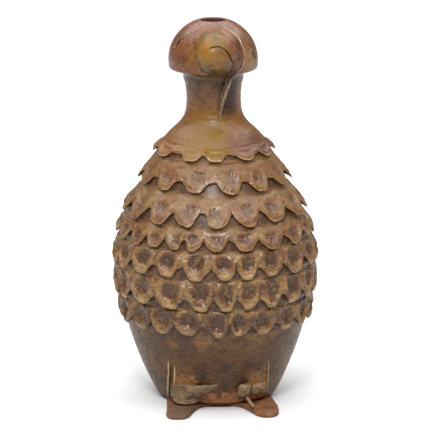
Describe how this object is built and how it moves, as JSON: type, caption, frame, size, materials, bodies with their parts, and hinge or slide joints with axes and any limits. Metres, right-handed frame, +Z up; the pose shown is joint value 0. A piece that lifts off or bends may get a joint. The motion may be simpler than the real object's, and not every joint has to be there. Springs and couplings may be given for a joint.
{
  "type": "stoneware bird vessel",
  "caption": "Hand-built stoneware bottle in the shape of a bird, with a hollow domed head open at the crown, ruffled clay flounces round the body and two flat feet.",
  "frame": {"origin": "centre of the round part of the foot plate's underside, on the vessel's axis at floor level", "axes": "+Z up, the bird and its feet face -Y, +X is the bird's left"},
  "size_m": [0.199, 0.2006, 0.3677],
  "materials": {
    "body_glaze": "semi-gloss brown ash glaze with throwing lines",
    "neck_glaze": "semi-gloss golden ochre glaze, mottled red-brown",
    "head_glaze": "semi-gloss red-brown glaze, mottled",
    "flounce_glaze": "semi-gloss khaki glaze, red-brown in the thumb presses",
    "beak_glaze": "semi-gloss yellow ochre glaze",
    "snood_glaze": "semi-gloss red-brown glaze, pale on its edges",
    "bare_clay": "bare orange-brown stoneware, thinly glazed",
    "pad_clay": "dry grey-olive ash-covered clay"
  },
  "bodies": {
    "root": {"foot_plate": "bare_clay", "body": "body_glaze", "neck": "neck_glaze", "head": "head_glaze", "flounce_1": "flounce_glaze", "flounce_2": "flounce_glaze", "flounce_3": "flounce_glaze", "flounce_4": "flounce_glaze", "flounce_5": "flounce_glaze", "flounce_6": "flounce_glaze", "flounce_7": "flounce_glaze", "beak_lower": "beak_glaze", "beak_upper": "beak_glaze", "snood": "snood_glaze", "wattle": "snood_glaze", "eyelid_left": "head_glaze", "eyelid_right": "head_glaze", "leg_right": "body_glaze", "leg_left": "body_glaze", "foot_pad_right": "pad_clay", "spur_right": "pad_clay", "foot_pad_left": "pad_clay", "inner_pad_left": "pad_clay", "clay_scrap_long": "pad_clay", "clay_scrap_short": "pad_clay"}
  },
  "joints": []
}
